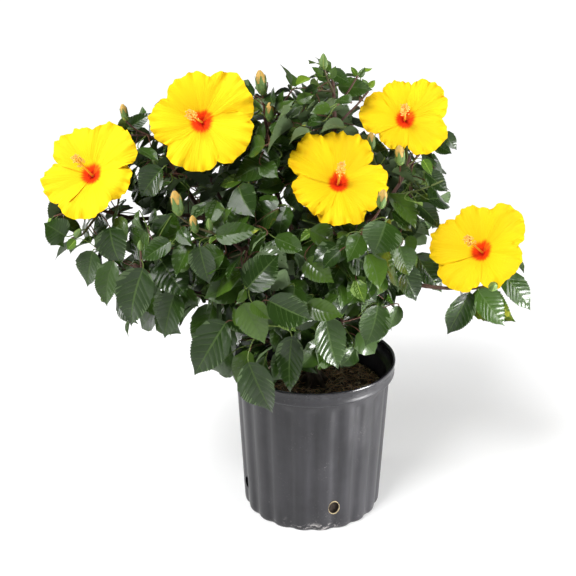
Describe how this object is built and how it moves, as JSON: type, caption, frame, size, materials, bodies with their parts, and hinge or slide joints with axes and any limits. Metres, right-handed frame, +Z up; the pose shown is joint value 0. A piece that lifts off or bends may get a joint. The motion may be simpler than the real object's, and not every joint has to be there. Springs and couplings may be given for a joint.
{
  "type": "hibiscus shrub",
  "caption": "Flowering hibiscus shrub with large yellow blooms, green buds and glossy toothed leaves, growing in a round fluted black nursery pot with side drain holes.",
  "frame": {"origin": "centre of the pot's flat underside", "axes": "+Z up along the pot, -Y the side seen from the front, +X to the right from there"},
  "size_m": [0.7422, 0.5435, 0.7428],
  "materials": {
    "pot_plastic": "black blow-moulded plastic, satin, glossier on the rim, scuffed near the foot",
    "potting_mix": "moist brown bark and fibre, matt",
    "bark": "grey-brown bark with fine ridges and pale pores, redder on young boughs",
    "foliage": "glossy dark green leaves, yellow-green where young",
    "petals": "soft matt yellow petals with an orange-red eye"
  },
  "bodies": {
    "root": {"bloom_back_centre": "petals", "bloom_back_left": "petals", "bloom_back_right": "petals", "bloom_centre": "petals", "bloom_far_left": "petals", "bloom_far_right": "petals", "bloom_upper_left": "petals", "bloom_upper_right": "petals", "bough_back_centre": "bark", "bough_back_left": "bark", "bough_back_low": "bark", "bough_back_right": "bark", "bough_centre": "bark", "bough_far_left": "bark", "bough_far_right": "bark", "bough_left_low": "bark", "bough_low_centre": "bark", "bough_right_low": "bark", "bough_right_mid": "bark", "bough_upper_centre": "bark", "bough_upper_left": "bark", "bough_upper_right": "bark", "leaves_back_centre": "foliage", "leaves_back_left": "foliage", "leaves_back_low": "foliage", "leaves_back_right": "foliage", "leaves_centre": "foliage", "leaves_far_left": "foliage", "leaves_far_right": "foliage", "leaves_left_low": "foliage", "leaves_low_centre": "foliage", "leaves_right_low": "foliage", "leaves_right_mid": "foliage", "leaves_top": "foliage", "leaves_upper_centre": "foliage", "leaves_upper_left": "foliage", "leaves_upper_right": "foliage", "pot": "pot_plastic", "soil": "potting_mix", "trunk": "bark"}
  },
  "joints": []
}
